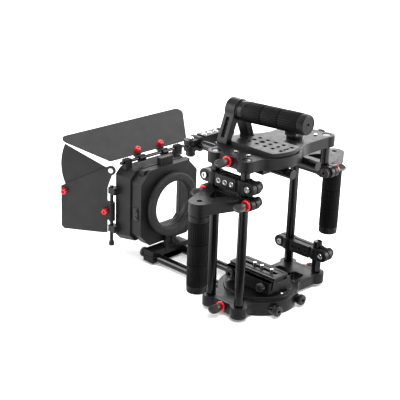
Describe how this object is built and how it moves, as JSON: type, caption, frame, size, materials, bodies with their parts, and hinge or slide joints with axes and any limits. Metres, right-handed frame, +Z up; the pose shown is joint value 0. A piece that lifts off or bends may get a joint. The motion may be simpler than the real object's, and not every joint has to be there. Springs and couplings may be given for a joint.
{
  "type": "cinema camera rig",
  "caption": "Camera cage on round rods with quick release base, side grips, top handle, accessory clamps and a rod-mounted matte box with folding flags.",
  "frame": {"origin": "on the ground under the centre of the cage's four uprights, on the base cover's flat underside", "axes": "+Z up, -Y towards the lens and matte box, +X to the operator's left"},
  "size_m": [0.36, 0.4519, 0.3401],
  "materials": {
    "black_anodised": "satin black anodised, fine bead-blasted grain",
    "black_rod": "polished black anodised tube",
    "black_cap": "turned satin black anodised",
    "grip_rubber": "matte black, fine lengthwise ribs",
    "soft_ring": "matte dark grey moulded rubber",
    "red_anodised": "bright red anodised",
    "wing_black": "matte black moulded",
    "clamp_hardware": "black round nuts and rings, bright socket bolts",
    "bright_steel": "bright turned steel",
    "matte_box_plastic": "fine textured dark grey plastic",
    "flag_sheet": "smooth matte dark grey sheet"
  },
  "bodies": {
    "cage": {"base_plate": "black_anodised", "base_cover": "black_anodised", "clamp_jaws": "black_anodised", "top_plate": "black_anodised", "cheese_plate": "black_anodised", "long_posts": "black_rod", "short_posts": "black_rod", "lower_rods": "black_rod", "rod_caps": "black_cap", "rod_clamp": "black_anodised", "receiver": "black_anodised", "top_rod_clamp": "black_anodised", "handle_yoke": "black_anodised", "handle_core": "black_cap", "handle_sleeve": "grip_rubber", "cold_shoe": "black_anodised", "clamp_rings": "red_anodised", "plate_screws": "bright_steel"},
    "base_left_wing": {"base_left_wing": "wing_black"},
    "base_right_wing": {"base_right_wing": "wing_black"},
    "top_left_wing": {"top_left_wing": "wing_black"},
    "top_right_wing": {"top_right_wing": "wing_black"},
    "camera_slide": {"quick_plate": "black_anodised", "camera_screws": "bright_steel"},
    "lock_knob": {"lock_knob": "wing_black"},
    "left_block": {"left_block": "black_anodised", "left_block_fittings": "clamp_hardware"},
    "right_block": {"right_block": "black_anodised", "right_block_fittings": "clamp_hardware"},
    "upper_rods": {"top_rods": "black_rod", "rod_block": "black_anodised", "rod_block_fittings": "clamp_hardware"},
    "left_handle": {"left_bracket": "black_anodised", "left_bracket_fittings": "clamp_hardware", "left_grip_core": "black_cap", "left_grip_sleeve": "grip_rubber"},
    "left_rear_wing": {"left_rear_wing": "wing_black"},
    "left_front_wing": {"left_front_wing": "wing_black"},
    "right_handle": {"right_bracket": "black_anodised", "right_bracket_fittings": "clamp_hardware", "right_grip_core": "black_cap", "right_grip_sleeve": "grip_rubber"},
    "right_rear_wing": {"right_rear_wing": "wing_black"},
    "right_front_wing": {"right_front_wing": "wing_black"},
    "matte_box": {"rod_bracket": "black_anodised", "filter_stage": "matte_box_plastic", "donut_ring": "soft_ring", "hood": "matte_box_plastic", "hinge_rods": "black_rod"},
    "filter_tray": {"filter_tray": "matte_box_plastic"},
    "top_flag": {"top_flag": "flag_sheet", "top_flag_clamps": "black_anodised"},
    "top_flag_knob_left": {"top_flag_knob_left": "red_anodised"},
    "top_flag_knob_right": {"top_flag_knob_right": "red_anodised"},
    "left_flag": {"left_flag": "flag_sheet", "left_flag_clamp": "black_anodised", "fan_rivet": "bright_steel"},
    "left_flag_knob": {"left_flag_knob": "red_anodised"},
    "fan_panel": {"fan_panel": "flag_sheet"},
    "fan_knob": {"fan_knob": "red_anodised"}
  },
  "joints": [
    {"name": "base_left_wing_turn", "type": "hinge", "parent": "cage", "child": "base_left_wing", "pos_m": [0.1085, 0, 0.015], "axis": [1, 0, 0], "range_deg": [-180, 0]},
    {"name": "base_right_wing_turn", "type": "hinge", "parent": "cage", "child": "base_right_wing", "pos_m": [-0.1085, 0, 0.015], "axis": [1, 0, 0], "range_deg": [-180, 0]},
    {"name": "top_left_wing_turn", "type": "hinge", "parent": "cage", "child": "top_left_wing", "pos_m": [0.1085, 0, 0.258], "axis": [1, 0, 0], "range_deg": [-180, 0]},
    {"name": "top_right_wing_turn", "type": "hinge", "parent": "cage", "child": "top_right_wing", "pos_m": [-0.1085, 0, 0.258], "axis": [1, 0, 0], "range_deg": [-180, 0]},
    {"name": "camera_plate_slide", "type": "slide", "parent": "cage", "child": "camera_slide", "axis": [0, 1, 0], "range_m": [-0.04, 0.04]},
    {"name": "lock_knob_turn", "type": "hinge", "parent": "cage", "child": "lock_knob", "pos_m": [0.0444, 0.034, 0.0425], "axis": [1, 0, 0], "range_deg": [-180, 0]},
    {"name": "left_block_slide", "type": "slide", "parent": "cage", "child": "left_block", "axis": [0, 0, 1], "range_m": [-0.005, 0.013]},
    {"name": "right_block_slide", "type": "slide", "parent": "cage", "child": "right_block", "axis": [0, 0, 1], "range_m": [-0.024, 0.009]},
    {"name": "upper_rods_slide", "type": "slide", "parent": "cage", "child": "upper_rods", "axis": [0, 1, 0], "range_m": [-0.045, 0.045]},
    {"name": "left_handle_slide", "type": "slide", "parent": "cage", "child": "left_handle", "axis": [0, 0, 1], "range_m": [-0.055, 0.005]},
    {"name": "right_handle_slide", "type": "slide", "parent": "cage", "child": "right_handle", "axis": [0, 0, 1], "range_m": [-0.003, 0.028]},
    {"name": "left_rear_wing_turn", "type": "hinge", "parent": "left_handle", "child": "left_rear_wing", "pos_m": [0.111, 0.044, 0.2], "axis": [1, 0, 0], "range_deg": [-180, 0]},
    {"name": "left_front_wing_turn", "type": "hinge", "parent": "left_handle", "child": "left_front_wing", "pos_m": [0.111, -0.044, 0.2], "axis": [1, 0, 0], "range_deg": [-180, 0]},
    {"name": "right_rear_wing_turn", "type": "hinge", "parent": "right_handle", "child": "right_rear_wing", "pos_m": [-0.111, 0.044, 0.208], "axis": [1, 0, 0], "range_deg": [-180, 0]},
    {"name": "right_front_wing_turn", "type": "hinge", "parent": "right_handle", "child": "right_front_wing", "pos_m": [-0.111, -0.044, 0.208], "axis": [1, 0, 0], "range_deg": [-180, 0]},
    {"name": "matte_box_slide", "type": "slide", "parent": "cage", "child": "matte_box", "axis": [0, 1, 0], "range_m": [-0.004, 0.1]},
    {"name": "filter_tray_slide", "type": "slide", "parent": "matte_box", "child": "filter_tray", "axis": [0, 0, 1], "range_m": [0, 0.125]},
    {"name": "top_flag_hinge", "type": "hinge", "parent": "matte_box", "child": "top_flag", "pos_m": [0.017, -0.256, 0.184], "axis": [1, 0, 0], "range_deg": [-60, 8]},
    {"name": "top_flag_knob_left_turn", "type": "hinge", "parent": "top_flag", "child": "top_flag_knob_left", "pos_m": [0.044, -0.26753, 0.19229], "axis": [0, 0.4384, 0.8988], "range_deg": [-180, 0]},
    {"name": "top_flag_knob_right_turn", "type": "hinge", "parent": "top_flag", "child": "top_flag_knob_right", "pos_m": [-0.01, -0.26753, 0.19229], "axis": [0, 0.4384, 0.8988], "range_deg": [-180, 0]},
    {"name": "left_flag_hinge", "type": "hinge", "parent": "matte_box", "child": "left_flag", "pos_m": [0.0985, -0.271, 0.094], "axis": [0, 0, 1], "range_deg": [-60, 50]},
    {"name": "left_flag_knob_turn", "type": "hinge", "parent": "left_flag", "child": "left_flag_knob", "pos_m": [0.10431, -0.2798, 0.094], "axis": [0.8829, 0.4695, 0], "range_deg": [-180, 0]},
    {"name": "fan_panel_turn", "type": "hinge", "parent": "left_flag", "child": "fan_panel", "pos_m": [0.0973, -0.273, 0.1686], "axis": [0.8829, 0.4695, 0], "range_deg": [-8, 44]},
    {"name": "fan_knob_turn", "type": "hinge", "parent": "left_flag", "child": "fan_knob", "pos_m": [0.13976, -0.34646, 0.121], "axis": [0.8829, 0.4695, 0], "range_deg": [-180, 0]}
  ]
}
